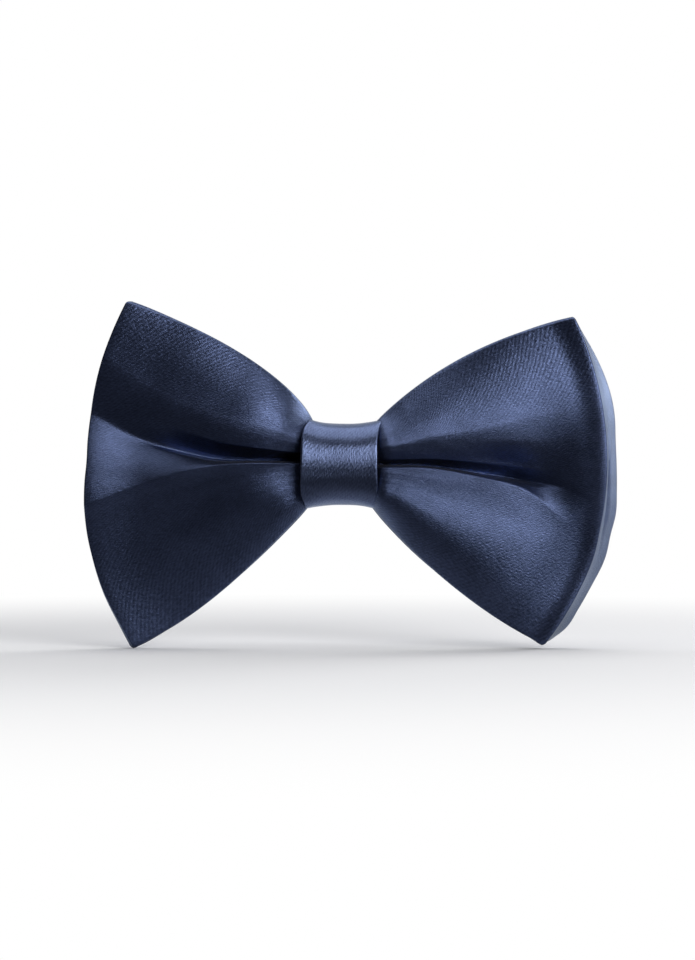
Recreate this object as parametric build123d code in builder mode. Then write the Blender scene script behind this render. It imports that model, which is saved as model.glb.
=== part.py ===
"""A pre-tied clip-on bow tie.

A satin band with an interlining is folded into a flat loop, gathered at the waist, bound with thread
and wrapped by a narrow knot band. The knot band also holds a stamped steel clip against the back.
Each end of the clip has a sprung lever that grips one side of a shirt collar.

Frame: +X to the right as seen from the front, +Z up as worn, +Y towards the wearer.
The origin is the middle of the clip plate's rear face, which lies on the collar. Millimetres.
"""

from build123d import *
from math import acos, atan2, cos, degrees, hypot, pi, radians, sin
import os

os.makedirs("parts", exist_ok=True)

# ---------------------------------------------------------------- driving dimensions
# Each wing's outer edge is an arc: (reach from the knot centre, arc radius, height of the arc's
# centre). Its long edges run from the knot to the tip and on past the arc.
LEFT_WING = {
    "arc": (57.3, 75.9, -2.0),
    "top": [(16.8, 21.4), (27.6, 28.1), (46.9, 36.4), (62.0, 42.4)],
    "bottom": [(16.8, -19.4), (30.0, -31.8), (46.5, -41.0), (62.0, -48.5)],
}
RIGHT_WING = {
    "arc": (62.5, 64.3, 0.5),
    "top": [(15.5, 16.2), (29.0, 25.2), (53.5, 33.3), (68.0, 37.4)],
    "bottom": [(15.5, -18.5), (29.2, -29.9), (48.3, -40.4), (66.0, -49.5)],
}
WAIST_HALF_HEIGHT = 7.6  # the gathered waist inside the knot
WAIST_FRONT = -12.5  # front face of the gathered waist
WAIST_BACK = -1.5  # rear face of the gathered waist
CREST_FRONT = -15.3  # front of the puffed lobes beside the knot
CREST_X = 19.0  # where the lobes stand out most
END_FRONT = -10.8  # front crease of the folded wing end
END_BACK = -4.2  # rear crease of the folded wing end
END_FOLD = 3.0  # how far the fold reaches past its creases

SATIN = 0.4  # one ply of satin
INTERLINING = 0.8  # the stiffener inside the bow band
KNOT_INTERLINING = 0.5  # the stiffener inside the knot band
SLACK = 0.05  # gap on each side of an interlining

SWEEP = 170.0  # how far a wing's section is turned, in degrees

KNOT_WIDTH = 17.3
THREAD = 0.5  # binding thread
THREAD_TURNS = 6
THREAD_PITCH = 0.45
SEAM_GAP = 0.3  # where the two ends of a band meet

PLATE = 0.8  # clip base sheet
PLATE_LENGTH = 54.4
PLATE_HEIGHT = 8.4
NECK_HEIGHT = 6.8  # the plate is narrower inside the knot band
NECK_LENGTH = KNOT_WIDTH + 1.0
SHEET = 0.7  # ears and levers
SIDE_GAP = 0.2  # between a base ear and the lever's flange
HINGE_X = 15.5
HINGE_Y = 2.2
PIN_RADIUS = 0.6
PIN_FIT = 0.02  # pin in the base ears
LEVER_FIT = 0.05  # pin in the lever's flanges
HEAD_RADIUS = 1.1
HEAD = 0.45
LEVER_BACK = 4.6  # the lever's flat rear face
TAB_END = (10.3, 6.6)  # free end of the press tab
TAB_BEND_X = 13.5
JAW_BEND_X = 23.6
JAW_X = PLATE_LENGTH / 2
JAW_GAP = 0.15  # between the closed teeth and the plate
TEETH = 5

COIL_RADIUS = 1.0
WIRE = 0.44
COIL_PITCH = 0.5
COIL_TURNS = 4
BASE_LEG = [(11.0, 0.35)]  # end of the spring leg that bears on the plate
TAB_LEG = [(13.3, 3.62), (10.9, 5.05)]  # bend and end of the spring leg that bears on the tab

leaf = 2 * SATIN + INTERLINING + 2 * SLACK
knot_leaf = 2 * SATIN + KNOT_INTERLINING + 2 * SLACK
thread_room = THREAD + 0.1
knot_inner_half_height = WAIST_HALF_HEIGHT + thread_room + 0.1
knot_inner_front = WAIST_FRONT - thread_room - 0.1
knot_inner_back = 0.05


def save(piece, name):
    piece.label = name
    export_step(piece, f"parts/{name}.step")


# ---------------------------------------------------------------- the bow band
def wing_prism(wing, inset):
    """The space between one wing's long edges, drawn in by inset, right through the bow."""
    waist = (KNOT_WIDTH / 2 - 0.2, WAIST_HALF_HEIGHT - inset)
    slant = 1.2 * inset  # the long edges slope, so they move further in height
    with BuildPart() as prism:
        with BuildSketch(Plane.XZ):
            with BuildLine():
                top = Spline(waist, *[(x, z - slant) for x, z in wing["top"]])
                bottom = Spline((waist[0], -waist[1]), *[(x, z + slant) for x, z in wing["bottom"]])
                Line(top @ 1, bottom @ 1)
                Polyline(waist, (0, waist[1]), (0, -waist[1]), (waist[0], -waist[1]))
            make_face()
        extrude(amount=30, both=True)
    return prism.part


def wing_section(wing, inset):
    """One wing seen from above, drawn in by inset, from the knot centre to the folded end."""
    reach = wing["arc"][0]
    end_x = reach - END_FOLD
    with BuildSketch() as section:
        with BuildLine():
            front = Spline(
                (0, WAIST_FRONT + inset),
                (11.5, WAIST_FRONT - 0.2 + inset),
                (CREST_X, CREST_FRONT + inset),
                (40.0, -14.0 + inset),
                (end_x, END_FRONT + inset),
                tangents=[(1, 0), (0.9, 0.35)],
            )
            ThreePointArc(
                front @ 1,
                (reach - inset, (END_FRONT + END_BACK) / 2),
                (end_x, END_BACK - inset),
            )
            Spline(
                (end_x, END_BACK - inset),
                (40.0, -2.4 - inset),
                (CREST_X, WAIST_BACK - inset),
                (0, WAIST_BACK - inset),
                tangents=[(-0.9, 0.2), (-1, 0)],
            )
            Line((0, WAIST_BACK - inset), (0, WAIST_FRONT + inset))
        make_face()
    return section.sketch


def wing_layer(wing, outer, inner, edge):
    """A layer of one wing between two insets, with its long edges drawn in by edge."""
    reach, radius, height = wing["arc"]
    centre = (reach - radius, 0, height)
    rise = radians(SWEEP / 2)
    swung_up = Plane(centre, x_dir=(cos(rise), 0, sin(rise)), z_dir=(-sin(rise), 0, cos(rise)))
    with BuildPart() as layer:
        # the folded end follows the arc, so the section turns about the arc's centre
        with BuildSketch(swung_up):
            with Locations((-centre[0], 0)):
                add(wing_section(wing, outer))
                add(wing_section(wing, inner), mode=Mode.SUBTRACT)
        revolve(axis=Axis(centre, (0, 1, 0)), revolution_arc=SWEEP)
        add(wing_prism(wing, edge), mode=Mode.INTERSECT)
    return layer.part


def bow_layer(outer, inner, edge):
    """The same layer in both wings."""
    with BuildPart() as layer:
        add(wing_layer(LEFT_WING, outer, inner, edge))
        mirror(about=Plane.YZ, mode=Mode.REPLACE)
        add(wing_layer(RIGHT_WING, outer, inner, edge))
    return layer.part


interlining_room = bow_layer(SATIN, leaf - SATIN, SATIN)
pleats = WAIST_BACK - WAIST_FRONT

with BuildPart() as bow_band:
    # the whole folded bow, with a hollow between the leaves of each wing
    add(bow_layer(0, leaf, 0))
    # the gathered waist is solid pleats
    with Locations((0, WAIST_FRONT + pleats / 2, 0)):
        Box(KNOT_WIDTH - 0.6, pleats - 2 * leaf + SATIN, 2 * WAIST_HALF_HEIGHT - 1.2)
    add(interlining_room, mode=Mode.SUBTRACT)
    # the band's two ends meet in the middle of the back
    with Locations((0, WAIST_BACK, 0)):
        Box(SEAM_GAP, 2 * leaf, 40, mode=Mode.SUBTRACT)
save(bow_band.part, "bow_band")

with BuildPart() as bow_interlining:
    add(bow_layer(SATIN + SLACK, leaf - SATIN - SLACK, SATIN + SLACK))
    with Locations((0, WAIST_BACK, 0)):
        Box(SEAM_GAP, 2 * leaf, 40, mode=Mode.SUBTRACT)
save(bow_interlining.part, "bow_interlining")

# ---------------------------------------------------------------- the binding thread
waist_middle = (WAIST_FRONT + WAIST_BACK) / 2
thread_off = thread_room - THREAD / 2
thread_back = WAIST_BACK + thread_off
thread_top = WAIST_HALF_HEIGHT + thread_off
bend = 0.6
with BuildPart() as waist_thread:
    # neighbouring turns touch, so the winding is one body
    with BuildLine(Plane.YZ) as turn:
        Line((waist_middle, thread_top), (thread_back - bend, thread_top))
        RadiusArc((thread_back - bend, thread_top), (thread_back, thread_top - bend), bend)
        Line((thread_back, thread_top - bend), (thread_back, bend - thread_top))
        RadiusArc((thread_back, bend - thread_top), (thread_back - bend, -thread_top), bend)
        Line((thread_back - bend, -thread_top), (waist_middle, -thread_top))
    with BuildSketch(Plane(origin=turn.line @ 0, x_dir=(1, 0, 0), z_dir=turn.line % 0)):
        with GridLocations(THREAD_PITCH, 1, THREAD_TURNS, 1):
            Circle(THREAD / 2)
    sweep(path=turn.line)
    mirror(about=Plane.XZ.offset(-waist_middle))
save(waist_thread.part, "waist_thread")


# ---------------------------------------------------------------- the knot band
def knot_outline(out):
    """The knot band seen from the right, grown by out from its inner face."""
    front, back = knot_inner_front - out, knot_inner_back + out
    with BuildSketch() as face:
        with Locations(((front + back) / 2, 0)):
            RectangleRounded(back - front, 2 * (knot_inner_half_height + out), 0.6 + out)
    return face.sketch


def knot_layer(inner, outer, edge):
    """A layer of the knot band between two growths, with its side edges drawn in by edge."""
    with BuildPart() as layer:
        with BuildSketch(Plane.YZ):
            add(knot_outline(outer))
            add(knot_outline(inner), mode=Mode.SUBTRACT)
        extrude(amount=KNOT_WIDTH / 2 - edge, both=True)
        # the band's two ends meet in the middle of the back
        with Locations((0, knot_inner_back + knot_leaf / 2, 0)):
            Box(KNOT_WIDTH + 1, 2 * knot_leaf, SEAM_GAP, mode=Mode.SUBTRACT)
    return layer.part


with BuildPart() as knot_band:
    add(knot_layer(0, knot_leaf, 0))
    add(knot_layer(SATIN, knot_leaf - SATIN, SATIN), mode=Mode.SUBTRACT)
save(knot_band.part, "knot_band")

with BuildPart() as knot_interlining:
    add(knot_layer(SATIN + SLACK, knot_leaf - SATIN - SLACK, SATIN + SLACK))
save(knot_interlining.part, "knot_interlining")

STITCHES = 8
STITCH_PITCH = 1.9
STITCH_RADIUS = 0.18
STITCH_LENGTH = 2.6
with BuildPart() as knot_stitches:
    stitch_y = knot_inner_back + knot_leaf + STITCH_RADIUS + 0.01
    with GridLocations(STITCH_PITCH, 1, STITCHES, 1):
        with Locations((0, stitch_y, 0)):
            Cylinder(STITCH_RADIUS, STITCH_LENGTH, rotation=(0, 25, 0))
save(knot_stitches.part, "knot_stitches")

# ---------------------------------------------------------------- the clip base
ear_outside = PLATE_HEIGHT / 2
ear_inside = ear_outside - SHEET
with BuildPart() as clip_base:
    with BuildSketch(Plane.XZ):
        RectangleRounded(PLATE_LENGTH, PLATE_HEIGHT, 1.6)
        with GridLocations(0, PLATE_HEIGHT, 1, 2):
            Rectangle(NECK_LENGTH, PLATE_HEIGHT - NECK_HEIGHT, mode=Mode.SUBTRACT)
    extrude(amount=PLATE)
    # two pairs of ears carry the hinge pins
    for side in (-1, 1):
        with BuildSketch(Plane.XY.offset(ear_inside)) as ear:
            with Locations((side * HINGE_X, HINGE_Y)):
                Circle(1.6)
            with Locations((side * HINGE_X, (HINGE_Y - PLATE) / 2)):
                Rectangle(3.2, HINGE_Y + PLATE)
            with Locations((side * HINGE_X, HINGE_Y)):
                Circle(PIN_RADIUS + PIN_FIT, mode=Mode.SUBTRACT)
        extrude(amount=SHEET)
    mirror(about=Plane.XY)
save(clip_base.part, "clip_base")

# ---------------------------------------------------------------- the right lever
flange_outside = ear_inside - SIDE_GAP
tab_slope = atan2(TAB_END[1] - LEVER_BACK, TAB_BEND_X - TAB_END[0])
with BuildPart() as lever:
    # one bent strip: press tab, flat back and toothed nose
    with BuildSketch():
        with BuildLine():
            FilletPolyline(
                TAB_END,
                (TAB_BEND_X, LEVER_BACK),
                (JAW_BEND_X, LEVER_BACK),
                (JAW_X, 1.7),
                (JAW_X, JAW_GAP),
                radius=0.9,
            )
            Line((JAW_X, JAW_GAP), (JAW_X - SHEET, JAW_GAP))
            FilletPolyline(
                (JAW_X - SHEET, JAW_GAP),
                (JAW_X - SHEET, 1.4),
                (JAW_BEND_X - 0.25, LEVER_BACK - SHEET),
                (TAB_BEND_X + 0.2, LEVER_BACK - SHEET),
                (TAB_END[0] - SHEET * sin(tab_slope), TAB_END[1] - SHEET * cos(tab_slope)),
                radius=0.4,
            )
            Line(
                (TAB_END[0] - SHEET * sin(tab_slope), TAB_END[1] - SHEET * cos(tab_slope)),
                TAB_END,
            )
        make_face()
    extrude(amount=flange_outside, both=True)
    # side flanges turn on the pin
    with BuildSketch(Plane.XY.offset(flange_outside - SHEET)):
        Polygon(
            (TAB_BEND_X - 0.2, LEVER_BACK - 0.1),
            (22.5, LEVER_BACK - 0.1),
            (17.0, 1.1),
            (14.1, 1.1),
            align=None,
        )
    extrude(amount=SHEET)
    mirror(about=Plane.XY)
    with Locations((HINGE_X, HINGE_Y, 0)):
        Cylinder(PIN_RADIUS + LEVER_FIT, 4 * flange_outside, mode=Mode.SUBTRACT)
    # notches across the nose leave a row of teeth
    tooth_pitch = 2 * flange_outside / TEETH
    with BuildSketch(Plane.YZ.offset(JAW_X - 2 * SHEET)):
        with Locations(*[(JAW_GAP, (n - TEETH / 2 + 1) * tooth_pitch) for n in range(TEETH - 1)]):
            Rectangle(1.0, tooth_pitch / 2)
    extrude(amount=3 * SHEET, mode=Mode.SUBTRACT)
lever_right = lever.part
save(lever_right, "lever_right")
lever_left = mirror(lever.part, about=Plane.YZ)
save(lever_left, "lever_left")

# ---------------------------------------------------------------- the right hinge pin
with BuildPart() as pin:
    with Locations((HINGE_X, HINGE_Y, 0)):
        Cylinder(PIN_RADIUS, 2 * ear_outside + 0.04)
    for side in (-1, 1):
        with Locations((HINGE_X, HINGE_Y, side * (ear_outside + 0.02 + HEAD / 2))):
            Cylinder(HEAD_RADIUS, HEAD)
save(pin.part, "hinge_pin_right")
save(mirror(pin.part, about=Plane.YZ), "hinge_pin_left")


# ---------------------------------------------------------------- the right lever spring
def tangent_angle(point, turn):
    """The angle on the coil where the line to a point leaves it, turned by +1 or -1."""
    dx, dy = point[0] - HINGE_X, point[1] - HINGE_Y
    return atan2(dy, dx) + turn * acos(COIL_RADIUS / hypot(dx, dy))


def on_coil(angle, z):
    return (HINGE_X + COIL_RADIUS * cos(angle), HINGE_Y + COIL_RADIUS * sin(angle), z)


start = tangent_angle(BASE_LEG[0], 1) % (2 * pi)
finish = tangent_angle(TAB_LEG[0], -1) % (2 * pi) + 2 * pi * (COIL_TURNS + 1)
turns = (finish - start) / (2 * pi)
coil_height = turns * COIL_PITCH
low, high = -coil_height / 2, coil_height / 2
with BuildLine() as coil:
    Helix(COIL_PITCH, coil_height, COIL_RADIUS, center=(0, 0, 0))
with BuildPart() as spring:
    with BuildLine() as wire:
        add(coil.line.rotate(Axis.Z, degrees(start)).translate((HINGE_X, HINGE_Y, low)))
        Polyline(on_coil(start, low), *[(x, y, low) for x, y in BASE_LEG])
        Polyline(on_coil(finish, high), *[(x, y, high) for x, y in TAB_LEG])
    path = wire.wires()[0]
    with BuildSketch(Plane(origin=path @ 0, z_dir=path % 0)):
        Circle(WIRE / 2)
    sweep(path=path, transition=Transition.TRANSFORMED)
save(spring.part, "lever_spring_right")
save(mirror(spring.part, about=Plane.YZ), "lever_spring_left")

print(f"spring turns {turns:.2f}, leaf {leaf:.2f} mm, knot leaf {knot_leaf:.2f} mm")
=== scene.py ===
import bpy
import numpy as np
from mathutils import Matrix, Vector, noise


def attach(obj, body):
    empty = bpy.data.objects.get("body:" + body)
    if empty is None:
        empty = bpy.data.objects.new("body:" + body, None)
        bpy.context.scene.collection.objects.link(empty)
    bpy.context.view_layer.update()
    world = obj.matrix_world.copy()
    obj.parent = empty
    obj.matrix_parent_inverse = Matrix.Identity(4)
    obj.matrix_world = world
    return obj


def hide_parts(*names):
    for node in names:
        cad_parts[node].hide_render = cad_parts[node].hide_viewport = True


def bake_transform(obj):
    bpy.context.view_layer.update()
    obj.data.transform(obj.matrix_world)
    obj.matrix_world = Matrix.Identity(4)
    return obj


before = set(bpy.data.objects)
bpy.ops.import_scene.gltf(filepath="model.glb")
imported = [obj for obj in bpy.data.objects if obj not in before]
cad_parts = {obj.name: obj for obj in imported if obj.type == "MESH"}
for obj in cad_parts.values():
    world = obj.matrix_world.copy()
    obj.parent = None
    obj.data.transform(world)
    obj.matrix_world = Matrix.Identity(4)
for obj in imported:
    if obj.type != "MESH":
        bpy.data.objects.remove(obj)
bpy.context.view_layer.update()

MM = 0.001

# ------------------------------------------------------------------ small helpers


def track(*points):
    """A smooth function through (x, y) points."""
    xs, ys = np.array(points, float).T
    slopes = np.gradient(ys, xs)

    def value(x):
        x = np.clip(x, xs[0], xs[-1])
        i = np.clip(np.searchsorted(xs, x, side="right") - 1, 0, len(xs) - 2)
        h = xs[i + 1] - xs[i]
        t = (x - xs[i]) / h
        return (
            (2 * t**3 - 3 * t**2 + 1) * ys[i]
            + (t**3 - 2 * t**2 + t) * h * slopes[i]
            + (3 * t**2 - 2 * t**3) * ys[i + 1]
            + (t**3 - t**2) * h * slopes[i + 1]
        )

    return value


def ease(t):
    """0 below 0, 1 above 1, smooth between."""
    t = np.clip(t, 0, 1)
    return t * t * (3 - 2 * t)


def bump(x, centre, width):
    return np.exp(-(((x - centre) / width) ** 2))


def bezier(points, t):
    a, b, c, d = (np.array(p, float) for p in points)
    t = np.asarray(t)[..., None]
    return (1 - t) ** 3 * a + 3 * t * (1 - t) ** 2 * b + 3 * t**2 * (1 - t) * c + t**3 * d


def ripple(u, v, seed, along, across):
    """Gentle random relief between -1 and 1, stretched by the two scales."""
    uu, vv = np.broadcast_arrays(u, v)
    out = np.empty(uu.shape)
    for k in np.ndindex(out.shape):
        out[k] = noise.noise(Vector((uu[k] * along, vv[k] * across, seed)))
    return out


def unit(a):
    return a / np.maximum(np.linalg.norm(a, axis=-1, keepdims=True), 1e-12)


def normals(grid):
    return unit(np.cross(np.gradient(grid, axis=0), np.gradient(grid, axis=1)))


def soften(grid, times):
    for _ in range(times):
        grid[1:-1] = (grid[:-2] + 2 * grid[1:-1] + grid[2:]) / 4
        grid[:, 1:-1] = (grid[:, :-2] + 2 * grid[:, 1:-1] + grid[:, 2:]) / 4
    return grid


def new_mesh(name, points, faces, uvs=None):
    mesh = bpy.data.meshes.new(name)
    mesh.from_pydata([tuple(p) for p in points], [], [tuple(int(i) for i in f) for f in faces])
    mesh.polygons.foreach_set("use_smooth", np.ones(len(mesh.polygons), bool))
    if uvs is not None:
        layer = mesh.uv_layers.new(name="cloth")
        loops = np.empty(len(mesh.loops), np.int32)
        mesh.loops.foreach_get("vertex_index", loops)
        layer.data.foreach_set("uv", np.asarray(uvs, np.float32)[loops].ravel())
    mesh.validate()
    obj = bpy.data.objects.new(name, mesh)
    bpy.context.collection.objects.link(obj)
    return obj


def band_mesh(name, outer, inner, rim=5, flip=False):
    """A folded band of cloth: outer face, rolled long edges and inner face, with closed ends.

    outer and inner are grids of points in millimetres: rows run along the band, columns across it."""
    rows, cols = outer.shape[:2]
    thick = np.linalg.norm(outer - inner, axis=-1).mean()
    low_edge = unit(outer[:, 0] - outer[:, 1])
    high_edge = unit(outer[:, -1] - outer[:, -2])
    turn = np.linspace(0, np.pi, rim + 2)[1:-1]

    def rolled(a, b, out):
        centre, radius = (a + b) / 2, (a - b) / 2
        return np.stack([centre + radius * np.cos(t) + out * np.sin(t) * thick / 2 for t in turn], 1)

    ring = np.concatenate(
        [outer, rolled(outer[:, -1], inner[:, -1], high_edge), inner[:, ::-1],
         rolled(inner[:, 0], outer[:, 0], low_edge)], 1)
    n = ring.shape[1]
    run = np.concatenate([[0], np.cumsum(np.linalg.norm(np.diff(outer[:, cols // 2], axis=0), axis=1))])
    wide = np.linspace(0, 1, cols) * np.linalg.norm(np.diff(outer, axis=1), axis=2).sum(1).max()
    across = np.concatenate([wide, np.full(rim, wide[-1]), wide[::-1], np.full(rim, wide[0])])
    uvs = np.stack(np.meshgrid(run, across, indexing="ij"), -1).reshape(-1, 2)
    index = np.arange(rows * n).reshape(rows, n)
    a, b = index[:-1], np.roll(index[:-1], -1, 1)
    c, d = np.roll(index[1:], -1, 1), index[1:]
    quads = np.stack([a, b, c, d] if not flip else [a, d, c, b], -1).reshape(-1, 4)
    faces = [tuple(q) for q in quads]
    for row, order in ((index[0], 1), (index[-1], -1)):
        # close each end between the two faces, strip by strip
        out_side, in_side = row[:cols], row[cols + rim:2 * cols + rim][::-1]
        cap = [(out_side[i], in_side[i], in_side[i + 1], out_side[i + 1]) for i in range(cols - 1)]
        high = [out_side[-1], *row[cols:cols + rim], in_side[-1]]
        low = [in_side[0], *row[2 * cols + rim:], out_side[0]]
        for f in [*cap, tuple(high[::-1]), tuple(low[::-1])]:
            faces.append(f if (order == 1) != flip else f[::-1])
    return new_mesh(name, ring.reshape(-1, 3) * MM, faces, uvs)


# ------------------------------------------------------------------ the wings
# Each wing fans out from the waist. u runs from the waist (0) to the folded end (1) and v from the
# bottom edge (-1) to the top edge (1). Lengths are in millimetres from the knot centre.
#   top, bottom                the two long edges, as Bezier curves
#   sagitta, bulge             how far the folded end bows out, and its own unevenness
#   band_slant, back_tip_rise  how the rear fold lies further out, and how its tips rise
#   base, lip                  depth of the front leaf along u, and the rise of its folded edge
#   end_hollow, end_groove     dips in the folded end
#   low_roll, low_back_roll    share of the roll kept by the bottom edge of each leaf
RIGHT = {
    "side": 1,
    "top": [(6.8, 7.6), (15.5, 16.5), (30.0, 27.8), (53.5, 32.6)],
    "bottom": [(6.5, -8.2), (14.5, -18.2), (31.0, -33.2), (46.8, -40.4)],
    "sagitta": 10.2,
    "bulge": track((-1, 0.0), (-0.86, 0.4), (-0.7, 0.7), (-0.45, 0.8), (-0.3, 0.3), (-0.1, -0.1),
                   (0.2, -0.4), (0.5, -0.3), (0.8, -0.1), (1, 0.0)),
    "band_slant": track((-1, 1.6), (-0.94, 2.9), (-0.8, 3.1), (-0.66, 3.2), (-0.5, 3.6), (-0.34, 3.6),
                        (-0.2, 3.95), (-0.05, 3.5), (0.1, 3.2), (0.25, 3.1), (0.42, 3.4), (0.53, 3.3),
                        (0.64, 2.9), (0.8, 1.9), (0.95, 0.8), (1, 0.6)),
    "back_tip_rise": (0.3, 0.5),
    "base": track((0, 12.4), (0.035, 13.2), (0.06, 15.0), (0.08, 15.75), (0.12, 15.85), (0.2, 15.7),
                  (0.3, 15.35), (0.45, 14.6), (0.6, 13.8), (0.8, 12.4), (1, 10.8)),
    "lip": 0.9,
    "end_hollow": 0.35,
    "end_groove": 0.8,
    "low_roll": 1.0,
    "low_back_roll": 1.0,
    "unevenness": 0.2,
}
LEFT = {
    "side": -1,
    "top": [(5.3, 8.5), (10.0, 18.4), (26.0, 29.4), (46.9, 36.2)],
    "bottom": [(5.5, -8.0), (13.0, -15.2), (29.0, -34.3), (46.5, -41.0)],
    "sagitta": 10.4,
    "bulge": track((-1, 0.5), (-0.87, 0.7), (-0.7, 1.2), (-0.5, 1.2), (-0.35, 1.05), (-0.2, 0.6),
                   (-0.05, 0.1), (0.08, -0.3), (0.2, -0.1), (0.4, 0.35), (0.6, 0.7), (1, 1.2)),
    "band_slant": track((-1, 0.7), (-0.5, 0.6), (0, 0.35), (0.5, 0.1), (1, 0.0)),
    "back_tip_rise": (-0.4, 0.4),
    "base": track((0, 11.8), (0.05, 12.0), (0.16, 14.6), (0.3, 15.9), (0.5, 15.5), (0.7, 14.2),
                  (0.86, 12.7), (1, 11.4)),
    "lip": 0.15,
    "end_hollow": 0.7,
    "end_groove": 0.0,
    "low_roll": 0.5,
    "low_back_roll": 0.15,
    "unevenness": 0.28,
}
FRONT_ROWS, BAND_ROWS, BACK_ROWS, COLUMNS = 110, 16, 60, 181
NECK_X, NECK_BITE, NECK_NARROW = (0.0, 1.5, 3.0), (0.85, 0.8, 0.4), 0.9
NECK_ROWS = len(NECK_X) - 1
TURN_ROWS = 12  # rows over which the cloth turns into and out of the folded end
MIDDLE_CROWDING, END_CROWDING = 0.45, 1.15  # finer columns at the crease, finer rows at the end
FAN_OPENS_BY, GATHERS_END, LIP_STARTS = 0.16, 0.07, 0.89
VALLEY_ROUNDING = 0.004
SEAM_HALF_GAP = 0.15

front_roll = track((0, 3.0), (0.1, 5.5), (0.25, 5.4), (0.5, 4.4), (0.75, 2.4), (1, 0.6))


def plan(wing, u, v):
    """Front view position: (x away from the knot, z)."""
    top, bottom = bezier(wing["top"], u), bezier(wing["bottom"], u)
    share = (v + 1) / 2
    x = bottom[..., 0] * (1 - share) + top[..., 0] * share
    z = bottom[..., 1] * (1 - share) + top[..., 1] * share
    half = (top[..., 1] - bottom[..., 1]) / 2
    chord = (top[..., 0] + bottom[..., 0]) / 2
    end_top, end_bottom = np.array(wing["top"][3]), np.array(wing["bottom"][3])
    end_half, end_chord = (end_top - end_bottom)[1] / 2, (end_top + end_bottom)[0] / 2
    fan = (np.hypot(chord, half) - chord) / (np.hypot(end_chord, end_half) - end_chord)
    x = x + wing["sagitta"] * fan * ease(u / FAN_OPENS_BY) * (1 - v**2) + wing["bulge"](v) * ease(u)
    return x, z


def crease(v, centre, depth, above, below, sharp, floor=1.0):
    """A valley that falls to depth at centre, over the widths above and below it.

    A floor above 1 leaves the bottom of the valley flat."""
    away = np.where(v > centre, (v - centre) / above, (centre - v) / below)
    away = np.sqrt(away**2 + VALLEY_ROUNDING)
    return depth * np.clip(floor - floor * away, 0, 1) ** sharp


def left_relief(u, v):
    centre = track((0, 0.03), (0.3, 0.03), (0.45, 0.06), (0.6, 0.13), (0.8, 0.23), (1, 0.36))(u)
    depth = track((0, 2.5), (0.2, 3.2), (0.42, 4.0), (0.6, 4.9), (0.8, 4.7), (1, 4.4))(u)
    above = track((0, 0.5), (0.3, 0.46), (0.6, 0.36), (1, 0.34))(u)
    below = track((0, 0.1), (0.3, 0.04), (0.45, 0.06), (0.6, 0.15), (0.8, 0.32), (1, 0.54))(u)
    slit = track((0, 5.0), (0.2, 6.3), (0.42, 5.8), (0.58, 3.0), (0.72, 0.6), (1, 0))(u)
    fold = crease(v, centre, depth, above, below, 1.5)
    fold = fold + crease(v, centre, slit, 0.17, 0.028, 1.1, 1.35)
    past = np.maximum(centre - below - v, 0)
    drop = track((0, 0), (0.12, 0.8), (0.3, 1.0), (0.5, 1.7), (0.8, 2.2), (1, 1.8))(u)
    drop = drop * (1 - np.exp(-past / 0.13))
    lean = track((0, 0), (0.15, 2.2), (0.5, 5.8), (0.8, 4.9), (1, 3.8))(u) * past
    flare = 2.8 * ease((u - 0.72) / 0.28) ** 1.4 * (0.28 + 0.72 * bump(v, 0.08, 0.38))
    return -fold - drop - lean + flare


def right_relief(u, v):
    centre = track((0, 0.03), (0.2, 0.04), (0.45, 0.0), (0.7, -0.04), (0.88, -0.07), (1, -0.14))(u)
    depth = track((0, 2.5), (0.2, 3.2), (0.42, 4.3), (0.6, 4.3), (0.75, 2.9), (0.84, 1.2),
                  (0.92, 0), (1, 0))(u)
    above = track((0, 0.4), (0.25, 0.4), (0.5, 0.42), (0.75, 0.5), (1, 0.6))(u)
    below = track((0, 0.12), (0.2, 0.05), (0.5, 0.045), (0.68, 0.07), (0.85, 0.22), (1, 0.3))(u)
    slit = track((0, 4.5), (0.2, 5.5), (0.42, 4.2), (0.6, 2.4), (0.75, 0.7), (0.85, 0), (1, 0))(u)
    fold = crease(v, centre, depth, above, below, 1.4) + crease(v, centre, slit, 0.1, 0.03, 1.1)
    dimple = 2.0 * bump(u, 0.62, 0.13) * np.where(
        v > centre, ease((centre + 0.32 - v) / 0.2), np.clip(1 - (centre - v) / below, 0, 1))
    flare = 3.6 * ease((u - 0.7) / 0.3) ** 1.5 * (0.04 + 0.96 * bump(v, 0.08, 0.42))
    return -fold - dimple + flare


def wing_front(wing, u, v):
    x, z = plan(wing, u, v)
    relief = (left_relief if wing["side"] < 0 else right_relief)(u, v)
    high = np.clip((v - 0.25) / 0.75, 0, 1) ** 2.6
    low = wing["low_roll"] * np.clip((-v - 0.35) / 0.65, 0, 1) ** 3.8
    roll = front_roll(u) * (high + low)
    seed = 3.1 if wing["side"] < 0 else 7.7
    fine = wing["unevenness"] * ripple(u, v, seed, 1.6, 3.2)
    fine = fine + 0.1 * ripple(u, v, seed + 9, 2.5, 12.0) * (1 - ease(u / 0.5))
    lip = wing["lip"] * ease((u - LIP_STARTS) / (1 - LIP_STARTS)) ** 2
    gathered = ease(u / GATHERS_END)
    depth = wing["base"](u) - roll + gathered * (relief + fine) + lip
    return np.stack([wing["side"] * x, -depth, z], -1)


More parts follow.
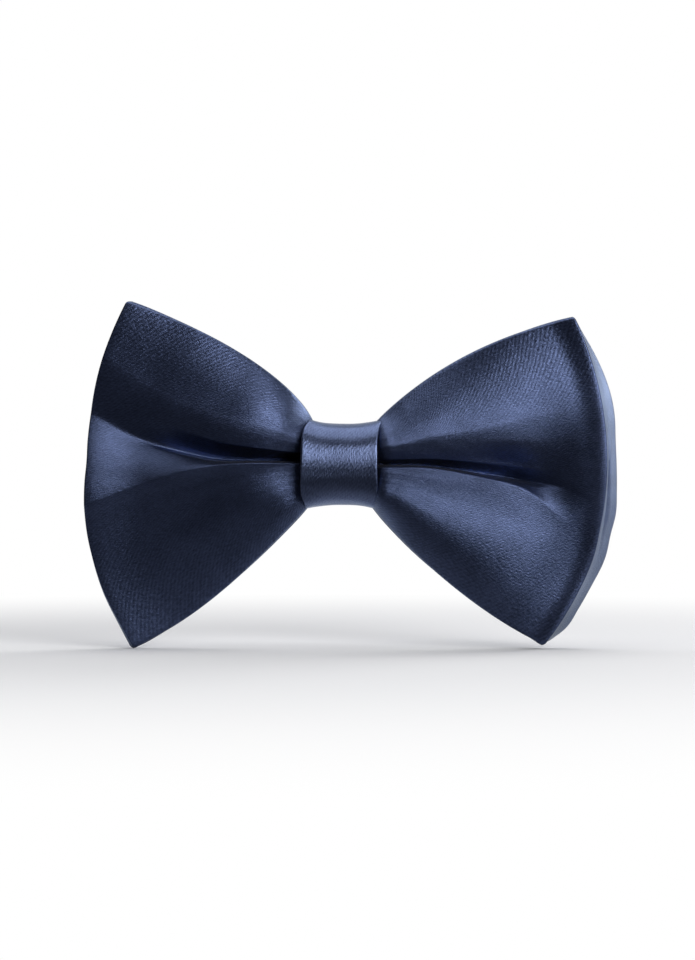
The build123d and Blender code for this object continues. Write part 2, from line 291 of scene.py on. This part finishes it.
def wing_back(wing, u, v):
    x, z = plan(wing, u, v)
    low, high = wing["back_tip_rise"]
    lift = ease((u - 0.5) / 0.5)
    x = x + wing["band_slant"](v) * ease((u - 0.3) / 0.7)
    z = z + lift * (low * np.clip(-v, 0, 1) + high * np.clip(v, 0, 1)) * np.abs(v) ** 3
    base = track((0, 0.95), (0.08, 1.15), (0.16, 1.5), (0.3, 1.85), (0.55, 2.0), (0.8, 2.6), (1, 3.6))(u)
    fold = crease(v, 0.02, track((0, 0.8), (0.2, 1.8), (0.5, 1.6), (1, 0.6))(u), 0.4, 0.4, 1.6)
    roll = track((0, 3.4), (0.1, 3.5), (0.3, 3.0), (0.6, 1.2), (1, 0.3))(u)
    roll = roll * np.clip((np.abs(v) - 0.5) / 0.5, 0, 1) ** 2.2
    roll = roll * np.where(v < 0, 1 - (1 - wing["low_back_roll"]) * ease(u / 0.3), 1)
    fine = 0.35 * (1 + ripple(u, v, 21.3 * wing["side"], 1.7, 6.0))
    gathered = ease((u - 0.02) / 0.16)
    return np.stack([wing["side"] * x, -(base + roll + gathered * (fold + fine)), z], -1)


def wing_rows(wing):
    """From the waist out along the front leaf, round the folded end and back along the rear leaf."""
    v = np.linspace(-1, 1, COLUMNS)[None]
    v = v * (1 - MIDDLE_CROWDING + MIDDLE_CROWDING * v**2)
    u = 1 - (1 - np.linspace(0, 1, FRONT_ROWS)) ** END_CROWDING
    front = wing_front(wing, u[:, None], v)
    back = wing_back(wing, np.linspace(1, 0, BACK_ROWS)[:, None], v)
    t = np.linspace(0, 1, BAND_ROWS + 2)[1:-1, None, None]
    across_end = t[..., 0]
    hollow = wing["end_hollow"] * np.sin(np.pi * across_end) ** 0.8 * (1 - 0.5 * np.abs(v))
    # a pressed channel, broken into dashes
    groove = bump(across_end, 0.42, 0.1) * bump(v, -0.02, 0.27) * (1 + 0.5 * ripple(0.5, v, 4.4, 1.0, 13.0))
    hollow = hollow + wing["end_groove"] * groove
    band = front[-1][None] * (1 - t) + back[0][None] * t
    band[..., 0] -= wing["side"] * hollow
    waist, bitten = (np.array(a)[:, None] + 0 * v for a in (NECK_X, NECK_BITE))

    def neck(edge, inwards):
        """The waist inside the knot, drawn in where the thread bites."""
        inside = edge[None].repeat(len(NECK_X), 0)
        inside[..., 0] = wing["side"] * waist
        inside[..., 1] += inwards * bitten
        inside[..., 2] *= NECK_NARROW
        return inside

    front_neck, back_neck = neck(front[0], 0.5), neck(back[-1], -1)
    rows = np.concatenate([front_neck[1:], front, band, back, back_neck[1:][::-1]])
    # which way the cloth's inner face lies: rearwards, then towards the knot, then forwards
    turn = ease((np.arange(TURN_ROWS) + 1) / TURN_ROWS)
    before, after = NECK_ROWS + FRONT_ROWS, NECK_ROWS + BACK_ROWS
    sideways = np.concatenate([
        np.zeros(before - TURN_ROWS), turn, np.ones(BAND_ROWS), turn[::-1], np.zeros(after - TURN_ROWS)])
    rearwards = np.concatenate([
        np.ones(before), np.linspace(1, -1, BAND_ROWS + 2)[1:-1], -np.ones(after)])
    inward = np.stack([-wing["side"] * sideways, rearwards, 0 * sideways], -1)
    return rows, inward, front_neck[:1], back_neck[:1]


def bow_rows():
    """The whole band, seam to seam at the back of the waist, and the way to its inner face at each row."""
    right, right_in, front_middle, back_middle = wing_rows(RIGHT)
    left, left_in, _, _ = wing_rows(LEFT)
    start, end = back_middle.copy(), back_middle.copy()
    start[..., 0], end[..., 0] = SEAM_HALF_GAP, -SEAM_HALF_GAP
    forwards, rearwards = np.array([[0, -1.0, 0]]), np.array([[0, 1.0, 0]])
    outer = np.concatenate([start, right[::-1], front_middle, left, end])
    inward = np.concatenate([forwards, right_in[::-1], rearwards, left_in, forwards])
    return outer, inward[:, None, :]


# ------------------------------------------------------------------ materials
def material(name):
    m = bpy.data.materials.new(name)
    m.use_nodes = True
    m.node_tree.nodes.clear()
    out = m.node_tree.nodes.new("ShaderNodeOutputMaterial")
    bsdf = m.node_tree.nodes.new("ShaderNodeBsdfPrincipled")
    m.node_tree.links.new(bsdf.outputs[0], out.inputs[0])
    return m, m.node_tree, bsdf


def node(tree, kind, **values):
    n = tree.nodes.new(kind)
    for key, value in values.items():
        if hasattr(n, key):
            setattr(n, key, value)
        else:
            n.inputs[key.replace("_", " ")].default_value = value
    return n


def two_tone(tree, dark, light, low=0.0, high=1.0):
    """A colour ramp from dark at low to light at high."""
    ramp = node(tree, "ShaderNodeValToRGB")
    ends = ramp.color_ramp.elements
    ends[0].position, ends[0].color = low, (*dark, 1)
    ends[1].position, ends[1].color = high, (*light, 1)
    return ramp


def rough_between(tree, bsdf, source, low, high):
    rough = node(tree, "ShaderNodeMapRange", To_Min=low, To_Max=high)
    tree.links.new(source, rough.inputs["Value"])
    tree.links.new(rough.outputs[0], bsdf.inputs["Roughness"])


def raise_by(tree, bsdf, height, strength, distance):
    relief = node(tree, "ShaderNodeBump", Strength=strength, Distance=distance)
    tree.links.new(height, relief.inputs["Height"])
    tree.links.new(relief.outputs[0], bsdf.inputs["Normal"])


def mixed_value(tree, first, second, share):
    mix = node(tree, "ShaderNodeMix", data_type="FLOAT")
    mix.inputs[0].default_value = share
    tree.links.new(first, mix.inputs[2])
    tree.links.new(second, mix.inputs[3])
    return mix.outputs[0]


def satin(name, dark, light, grain, stretch_glint, turn_glint, sheen):
    m, tree, bsdf = material(name)
    link = tree.links.new
    uv = node(tree, "ShaderNodeUVMap", uv_map="cloth")
    # uneven dye and lustre, in soft clouds
    cloud = node(tree, "ShaderNodeTexNoise", Scale=0.09, Detail=3.0, Roughness=0.5)
    link(uv.outputs[0], cloud.inputs["Vector"])
    # slubs: short bright floats that follow the yarn
    stretch = node(tree, "ShaderNodeMapping")
    stretch.inputs["Scale"].default_value = (0.9, 3.2, 1.0)
    stretch.inputs["Rotation"].default_value = (0, 0, 0.6)
    link(uv.outputs[0], stretch.inputs["Vector"])
    slub = node(tree, "ShaderNodeTexNoise", Scale=1.0, Detail=4.0, Roughness=0.65)
    link(stretch.outputs[0], slub.inputs["Vector"])
    # the diagonal of the satin weave
    weave = node(tree, "ShaderNodeTexWave", wave_type="BANDS", bands_direction="DIAGONAL",
                 Scale=grain, Distortion=1.5, Detail=2.0)
    weave.inputs["Detail Scale"].default_value = 1.5
    link(uv.outputs[0], weave.inputs["Vector"])
    grainy = mixed_value(tree, slub.outputs["Fac"], weave.outputs["Fac"], 0.1)
    ramp = two_tone(tree, dark, light, 0.38, 0.64)
    link(mixed_value(tree, grainy, cloud.outputs["Fac"], 0.35), ramp.inputs[0])
    link(ramp.outputs[0], bsdf.inputs["Base Color"])
    rough_between(tree, bsdf, grainy, 0.25, 0.38)
    raise_by(tree, bsdf, grainy, 0.7, 0.00016)
    way = node(tree, "ShaderNodeTangent", direction_type="UV_MAP", uv_map="cloth")
    link(way.outputs[0], bsdf.inputs["Tangent"])
    bsdf.inputs["Metallic"].default_value = 0.92
    bsdf.inputs["Specular IOR Level"].default_value = 0.4
    bsdf.inputs["Specular Tint"].default_value = (0.84, 0.92, 1.0, 1)
    bsdf.inputs["Sheen Weight"].default_value = sheen
    bsdf.inputs["Sheen Roughness"].default_value = 0.35
    bsdf.inputs["Sheen Tint"].default_value = (0.72, 0.70, 0.72, 1)
    bsdf.inputs["Anisotropic"].default_value = stretch_glint
    bsdf.inputs["Anisotropic Rotation"].default_value = turn_glint
    return m


def yarn(name, dark, light, pitch, roughness=0.6):
    m, tree, bsdf = material(name)
    link = tree.links.new
    place = node(tree, "ShaderNodeTexCoord")
    twist = node(tree, "ShaderNodeTexWave", wave_type="BANDS", bands_direction="DIAGONAL",
                 Scale=pitch, Distortion=2.0, Detail=2.0)
    link(place.outputs["Object"], twist.inputs["Vector"])
    ramp = two_tone(tree, dark, light)
    link(twist.outputs["Fac"], ramp.inputs[0])
    link(ramp.outputs[0], bsdf.inputs["Base Color"])
    raise_by(tree, bsdf, twist.outputs["Fac"], 0.5, 0.0001)
    bsdf.inputs["Roughness"].default_value = roughness
    bsdf.inputs["Sheen Weight"].default_value = 0.3
    return m


def steel(name, tone, rough_low, rough_high):
    m, tree, bsdf = material(name)
    link = tree.links.new
    place = node(tree, "ShaderNodeTexCoord")
    drawn = node(tree, "ShaderNodeMapping")
    drawn.inputs["Scale"].default_value = (300, 300, 4000)
    link(place.outputs["Object"], drawn.inputs["Vector"])
    lines = node(tree, "ShaderNodeTexNoise", Scale=1.0, Detail=5.0, Roughness=0.6)
    link(drawn.outputs[0], lines.inputs["Vector"])
    spots = node(tree, "ShaderNodeTexNoise", Scale=260.0, Detail=4.0, Roughness=0.6)
    link(place.outputs["Object"], spots.inputs["Vector"])
    ramp = two_tone(tree, [c * 0.84 for c in tone], tone, 0.35, 0.6)
    link(spots.outputs["Fac"], ramp.inputs[0])
    link(ramp.outputs[0], bsdf.inputs["Base Color"])
    rough_between(tree, bsdf, lines.outputs["Fac"], rough_low, rough_high)
    raise_by(tree, bsdf, lines.outputs["Fac"], 0.12, 0.00002)
    bsdf.inputs["Metallic"].default_value = 1.0
    return m


SATIN_CLOTH = satin("navy_satin", (0.050, 0.066, 0.128), (0.105, 0.138, 0.262), 0.63, 0.3, 0.25, 0.04)
# the knot is the same satin as the wings, but its base colour is made lighter: painted light that brightens the
# knot
KNOT_CLOTH_PAINTED_LIGHTER = satin("navy_satin_knot_painted_lighter", (0.086, 0.112, 0.208), (0.168, 0.215, 0.380), 0.63, 0.85, 0.25, 0.25)
CANVAS = yarn("canvas_interlining", (0.62, 0.60, 0.55), (0.80, 0.78, 0.73), 900, 0.85)
THREAD = yarn("navy_thread", (0.010, 0.012, 0.028), (0.045, 0.055, 0.11), 1800)
PLATE_STEEL = steel("nickel_plated_steel", (0.78, 0.76, 0.72), 0.15, 0.34)
PIN_STEEL = steel("bright_pin_steel", (0.60, 0.60, 0.60), 0.16, 0.3)
SPRING_STEEL = steel("spring_wire", (0.50, 0.50, 0.51), 0.2, 0.36)


def finish_piece(obj, mat, body, slot, *nodes):
    obj.data.materials.clear()
    obj.data.materials.append(mat)
    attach(obj, body)
    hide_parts(*nodes)


# ------------------------------------------------------------------ the bow band
CLOTH_THICK = 1.15
CANVAS_DEPTH = 0.3  # how far into the cloth each face of the interlining lies


def between(outer, inner, edge):
    """The faces of the interlining: the middle of the cloth, short of its edges."""
    outer, inner = outer[2:-2, edge:-edge], inner[2:-2, edge:-edge]
    near, far = CANVAS_DEPTH, 1 - CANVAS_DEPTH
    return outer * far + inner * near, outer * near + inner * far


rows, inward = bow_rows()
rows_in = rows + inward * CLOTH_THICK
bow = band_mesh("bow_satin_band", rows, rows_in, flip=True)
finish_piece(bow, SATIN_CLOTH, "bow", "satin", "bow_band")
lining = band_mesh("bow_canvas", *between(rows, rows_in, 3), rim=3, flip=True)
finish_piece(lining, CANVAS, "bow", "interlining", "bow_interlining")

# ------------------------------------------------------------------ the knot band
KNOT_ROWS, KNOT_COLUMNS = 150, 61
KNOT_FRONT, KNOT_BACK, KNOT_THICK = -15.6, 1.4, 0.8
KNOT_HALF_HEIGHT = 9.3
FRONT_SQUARENESS, BACK_SQUARENESS = 2.3, 2.45
SEAM_ANGLE = 0.0004  # half the opening between the band's two ends
left_edge = track((-12, -6.9), (-9, -7.3), (-7.5, -7.9), (-3, -8.1), (2, -8.1), (5.5, -7.9),
                  (8.5, -7.2), (10.2, -6.0))
right_edge = track((-12, 7.3), (-10, 7.9), (0, 8.35), (7.6, 8.7), (10, 9.5))


def knot_rows():
    """Round the knot from the seam at the back, over the top, down the front and back underneath."""
    turn = np.linspace(SEAM_ANGLE, 2 * np.pi - SEAM_ANGLE, KNOT_ROWS)[:, None]
    w = np.linspace(-1, 1, KNOT_COLUMNS)[None]
    middle, half_depth = (KNOT_FRONT + KNOT_BACK) / 2, (KNOT_BACK - KNOT_FRONT) / 2
    c, s = np.cos(turn), np.sin(turn)
    power = 2 / np.where(c < 0, FRONT_SQUARENESS, BACK_SQUARENESS)
    y = middle + half_depth * np.sign(c) * np.abs(c) ** power
    z = KNOT_HALF_HEIGHT * np.sign(s) * np.abs(s) ** power
    # behind, the band dips from the clip plate to the waist
    y = y - 0.55 * np.where(c > 0, bump(np.abs(z), 5.6, 1.3), 0)
    flare = 1 + 0.13 * np.abs(w) ** 2.4 * np.clip(-c + 0.6, 0, 1)
    y = middle + (y - middle) * (1 + 0.02 * np.abs(w) ** 3)
    z = z * flare
    x = left_edge(z) * (1 - w) / 2 + right_edge(z) * (1 + w) / 2
    tuck = 0.5 * (bump(turn, 0, 0.05) + bump(turn, 2 * np.pi, 0.05))
    wave = 0.12 * ripple(turn, w, 5.5, 0.8, 1.6) + 0.1 * ripple(turn, w, 2.5, 4.0, 0.5)
    points = np.stack(np.broadcast_arrays(x, y, z), -1)
    out = unit(np.stack(np.broadcast_arrays(0 * x, c * KNOT_HALF_HEIGHT, s * half_depth), -1))
    return points + out * (wave - tuck)[..., None]


knot_grid = knot_rows()
knot_in = knot_grid - unit(soften(normals(knot_grid), 6)) * KNOT_THICK
knot = band_mesh("knot_satin_band", knot_grid, knot_in)
finish_piece(knot, KNOT_CLOTH_PAINTED_LIGHTER, "bow", "satin", "knot_band")
knot_lining = band_mesh("knot_canvas", *between(knot_grid, knot_in, 3), rim=3)
finish_piece(knot_lining, CANVAS, "bow", "interlining", "knot_interlining")

# ------------------------------------------------------------------ the thread bound round the waist
TURNS, WIND_STEPS, WIND_SIDES, YARN_RADIUS = 6, 56, 8, 0.25
WIND_WIDTH, WIND_MIDDLE, WIND_HALF_DEPTH, WIND_HALF_HEIGHT = 2.5, -7.1, 5.7, 7.75
WIND_SQUARENESS = 2.5


def waist_winding():
    """One thread wound side by side round the gathered waist."""
    turn = np.linspace(0, 2 * np.pi * TURNS, TURNS * WIND_STEPS)
    c, s = np.cos(turn), np.sin(turn)
    power = 2 / WIND_SQUARENESS
    x = WIND_WIDTH * (turn / turn[-1] - 0.5)
    y = WIND_MIDDLE + WIND_HALF_DEPTH * np.sign(c) * np.abs(c) ** power
    z = WIND_HALF_HEIGHT * np.sign(s) * np.abs(s) ** power
    line = np.stack([x, y, z], -1)
    along = unit(np.gradient(line, axis=0))
    out = unit(np.cross(along, [1.0, 0, 0]))
    side = np.cross(along, out)
    round_it = 2 * np.pi * np.arange(WIND_SIDES) / WIND_SIDES
    ring = line[:, None] + YARN_RADIUS * (
        out[:, None] * np.cos(round_it)[:, None] + side[:, None] * np.sin(round_it)[:, None])
    index = np.arange(len(line) * WIND_SIDES).reshape(-1, WIND_SIDES)
    here, ahead = index[:-1], index[1:]
    quads = np.stack([here, np.roll(here, -1, 1), np.roll(ahead, -1, 1), ahead], -1).reshape(-1, 4)
    return new_mesh("waist_winding", ring.reshape(-1, 3) * MM, [*quads, index[0][::-1], index[-1]])


winding = waist_winding()
finish_piece(winding, THREAD, "bow", "thread", "waist_thread")

# ------------------------------------------------------------------ stitches that close the knot
STITCHES, STITCH_PITCH = 8, 1.9
STITCH_STEPS, STITCH_SIDES, STITCH_RADIUS = 13, 10, 0.18
STITCH_REACH_X, STITCH_REACH_Z, STITCH_PROUD = 0.55, 1.25, 0.12


def slip_stitches():
    """A row of short slanting stitches, each one an arch whose ends sink into the cloth."""
    points, faces = [], []
    along = unit(np.array([STITCH_REACH_X, 0, STITCH_REACH_Z]))
    side_a, side_b = np.array([0, 1.0, 0]), np.cross(along, [0, 1.0, 0])
    for k in range(STITCHES):
        x0 = (k - (STITCHES - 1) / 2) * STITCH_PITCH
        for i in range(STITCH_STEPS):
            t = i / (STITCH_STEPS - 1)
            way = 2 * t - 1
            lift = 0.16 * np.sin(np.pi * t) ** 0.6 - 0.3 * abs(way) ** 6
            centre = np.array(
                [x0 + STITCH_REACH_X * way, KNOT_BACK + STITCH_PROUD + lift, STITCH_REACH_Z * way])
            plump = (0.55 + 0.45 * np.sin(np.pi * t) ** 0.5) * (1 + 0.06 * np.sin(10 * t + k))
            for a in 2 * np.pi * np.arange(STITCH_SIDES) / STITCH_SIDES:
                ring = side_a * np.cos(a) + side_b * np.sin(a)
                points.append((centre + STITCH_RADIUS * plump * ring) * MM)
        count = STITCH_STEPS * STITCH_SIDES
        index = (k * count + np.arange(count)).reshape(STITCH_STEPS, -1)
        here, ahead = index[:-1], index[1:]
        faces.extend(np.stack([here, ahead, np.roll(ahead, -1, 1), np.roll(here, -1, 1)], -1).reshape(-1, 4))
        faces.extend([index[0], index[-1][::-1]])
    return points, faces


stitches = new_mesh("knot_slip_stitches", *slip_stitches())
finish_piece(stitches, THREAD, "bow", "thread", "knot_stitches")

# ------------------------------------------------------------------ springs, copied from the CAD mesh in spring wire
for side, sign in (("left", -1), ("right", 1)):
    cad_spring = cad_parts[f"lever_spring_{side}"]
    spring = bpy.data.objects.new(f"torsion_spring_{side}", cad_spring.data.copy())
    bpy.context.collection.objects.link(spring)
    spring.data.materials.clear()
    spring.data.materials.append(SPRING_STEEL)
    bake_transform(spring)
    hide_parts(f"lever_spring_{side}")

# ------------------------------------------------------------------ carried-over CAD nodes
CAD_FINISH = {
    "clip_base": PLATE_STEEL,
    "lever_left": PLATE_STEEL,
    "lever_right": PLATE_STEEL,
    "hinge_pin_left": PIN_STEEL,
    "hinge_pin_right": PIN_STEEL,
}
for name, mat in CAD_FINISH.items():
    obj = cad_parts[name]
    if not obj.material_slots:
        obj.data.materials.append(None)
    for s in obj.material_slots:
        s.link = "OBJECT"
        s.material = mat

# ------------------------------------------------------------------ floor, light and camera
FLOOR_WHITE = (0.93, 0.93, 0.935, 1)
FLOOR_HALF_SIZE = 3.0


def fade_floor(tree, bsdf):
    """The floor fades to the white of the backdrop away from the object.

    It looks pale to the camera, and dark in front of the object to reflections in the satin."""
    link = tree.links.new
    # glow: away from the object the floor glows white to the camera, painted light that fades it into the
    # backdrop
    glow = tree.nodes.new("ShaderNodeEmission")
    shade = node(tree, "ShaderNodeMix", data_type="RGBA")
    shade.inputs[6].default_value = (0.05, 0.05, 0.055, 1)
    shade.inputs[7].default_value = FLOOR_WHITE
    blend_floor = tree.nodes.new("ShaderNodeMixShader")
    here = node(tree, "ShaderNodeTexCoord")
    reach = node(tree, "ShaderNodeVectorMath", operation="LENGTH")
    fade = node(tree, "ShaderNodeMapRange", interpolation_type="SMOOTHSTEP")
    fade.inputs["From Min"].default_value, fade.inputs["From Max"].default_value = 0.09, 0.30
    seen_ray = tree.nodes.new("ShaderNodeLightPath")
    both_on = node(tree, "ShaderNodeMath", operation="MULTIPLY")
    depth_way = node(tree, "ShaderNodeSeparateXYZ")
    behind = node(tree, "ShaderNodeMapRange", interpolation_type="SMOOTHSTEP")
    behind.inputs["From Min"].default_value, behind.inputs["From Max"].default_value = -0.06, 0.05
    lit = node(tree, "ShaderNodeMath", operation="MAXIMUM")
    link(here.outputs["Object"], depth_way.inputs[0])
    link(depth_way.outputs["Y"], behind.inputs["Value"])
    link(behind.outputs[0], lit.inputs[0])
    link(seen_ray.outputs["Is Camera Ray"], lit.inputs[1])
    link(lit.outputs[0], shade.inputs[0])
    link(shade.outputs[2], bsdf.inputs["Base Color"])
    link(here.outputs["Object"], reach.inputs[0])
    link(reach.outputs["Value"], fade.inputs["Value"])
    link(fade.outputs[0], both_on.inputs[0])
    link(seen_ray.outputs["Is Camera Ray"], both_on.inputs[1])
    link(both_on.outputs[0], blend_floor.inputs[0])
    link(bsdf.outputs[0], blend_floor.inputs[1])
    link(glow.outputs[0], blend_floor.inputs[2])
    link(blend_floor.outputs[0], tree.nodes["Material Output"].inputs[0])


floor_mesh = bpy.data.meshes.new("floor")
low = min((bow.matrix_world @ v.co).z for v in bow.data.vertices)
corners = [(x * FLOOR_HALF_SIZE, y * FLOOR_HALF_SIZE, low) for x, y in ((-1, -1), (1, -1), (1, 1), (-1, 1))]
floor_mesh.from_pydata(corners, [], [(0, 1, 2, 3)])
floor = bpy.data.objects.new("floor", floor_mesh)
bpy.context.collection.objects.link(floor)
floor_mat, floor_tree, floor_bsdf = material("pale_floor")
floor_bsdf.inputs["Roughness"].default_value = 0.9
floor_bsdf.inputs["Specular IOR Level"].default_value = 0.1
floor_mesh.materials.append(floor_mat)
fade_floor(floor_tree, floor_bsdf)

def studio_world():
    """White to the camera; to reflections, a room that is dark in front and pale behind."""
    world = bpy.data.worlds.new("studio")
    bpy.context.scene.world = world
    world.use_nodes = True
    tree = world.node_tree
    tree.nodes.clear()
    link = tree.links.new
    out = tree.nodes.new("ShaderNodeOutputWorld")
    mix = tree.nodes.new("ShaderNodeMixShader")
    seen, room = tree.nodes.new("ShaderNodeBackground"), tree.nodes.new("ShaderNodeBackground")
    path = tree.nodes.new("ShaderNodeLightPath")
    seen.inputs[0].default_value = (1, 1, 1, 1)
    way = tree.nodes.new("ShaderNodeTexCoord")
    split = tree.nodes.new("ShaderNodeSeparateXYZ")
    ramp = two_tone(tree, (0.03, 0.03, 0.035), (0.55, 0.56, 0.59), 0.5, 0.8)
    lift = node(tree, "ShaderNodeMapRange")
    lift.inputs["From Min"].default_value, lift.inputs["From Max"].default_value = -1.0, 1.0
    link(way.outputs["Generated"], split.inputs[0])
    link(split.outputs["Y"], lift.inputs["Value"])
    link(lift.outputs[0], ramp.inputs[0])
    link(ramp.outputs[0], room.inputs[0])
    link(path.outputs["Is Camera Ray"], mix.inputs[0])
    link(room.outputs[0], mix.inputs[1])
    link(seen.outputs[0], mix.inputs[2])
    link(mix.outputs[0], out.inputs[0])


def softbox(name, place, aim, size_x, size_y, power):
    data = bpy.data.lights.new(name, "AREA")
    data.shape, data.size, data.size_y, data.energy = "RECTANGLE", size_x, size_y, power
    lamp = bpy.data.objects.new(name, data)
    bpy.context.collection.objects.link(lamp)
    lamp.location = place
    lamp.rotation_mode = "QUATERNION"
    lamp.rotation_quaternion = (Vector(aim) - Vector(place)).to_track_quat("-Z", "Y")


studio_world()
LIGHTS_AIM = (0.002, -0.010, -0.002)
softbox("key", (0.53, -0.82, 0.30), LIGHTS_AIM, 0.55, 0.6, 6.6)
softbox("top", (0, 0.0, 1.1), LIGHTS_AIM, 1.2, 1.2, 7.0)
softbox("rim", (0.75, 0.55, 0.30), LIGHTS_AIM, 0.5, 0.5, 3.0)

camera_data = bpy.data.cameras.new("camera")
camera_data.lens = 100  # millimetres
camera = bpy.data.objects.new("camera", camera_data)
bpy.context.collection.objects.link(camera)
camera.location = (0.0020, -0.613, -0.0036)
camera.rotation_mode = "QUATERNION"
camera.rotation_quaternion = Vector((0, 1, 0)).to_track_quat("-Z", "Y")
bpy.context.scene.camera = camera
bpy.context.scene.view_settings.view_transform = "Standard"

bpy.context.view_layer.update()
